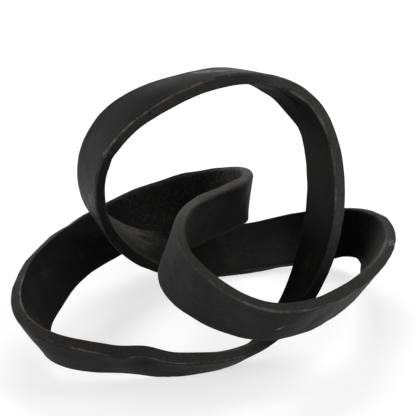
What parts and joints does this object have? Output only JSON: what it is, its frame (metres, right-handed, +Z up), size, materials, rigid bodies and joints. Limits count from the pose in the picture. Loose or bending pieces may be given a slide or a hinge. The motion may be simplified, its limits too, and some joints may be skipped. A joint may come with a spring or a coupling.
{
  "type": "metal knot sculpture",
  "caption": "Free-standing knot of one wide flat metal band that twists, loops through itself and closes, with an upright arch over two low rings.",
  "frame": {"origin": "on the ground plane, under the middle of the bounding box", "axes": "+Z up, +X along the longest side to the right as seen in the picture, +Y away from the picture's viewer"},
  "size_m": [0.2923, 0.242, 0.2113],
  "materials": {
    "cast_band": "matte",
    "weld_filler": "matte"
  },
  "bodies": {
    "root": {"left_back_run_casting": "cast_band", "left_side_casting": "cast_band", "left_end_casting": "cast_band", "front_foot_casting": "cast_band", "right_leg_casting": "cast_band", "right_shoulder_casting": "cast_band", "left_shoulder_casting": "cast_band", "left_leg_casting": "cast_band", "back_foot_casting": "cast_band", "right_back_run_casting": "cast_band", "right_end_casting": "cast_band", "front_turn_casting": "cast_band", "waist_casting": "cast_band", "hairpin_weld": "weld_filler", "left_back_weld": "weld_filler", "left_end_weld": "weld_filler", "front_foot_weld": "weld_filler", "leg_base_weld": "weld_filler", "right_shoulder_weld": "weld_filler", "crown_weld": "weld_filler", "left_leg_weld": "weld_filler", "back_foot_weld": "weld_filler", "right_back_weld": "weld_filler", "right_end_weld": "weld_filler", "front_run_weld": "weld_filler", "waist_weld": "weld_filler"}
  },
  "joints": []
}
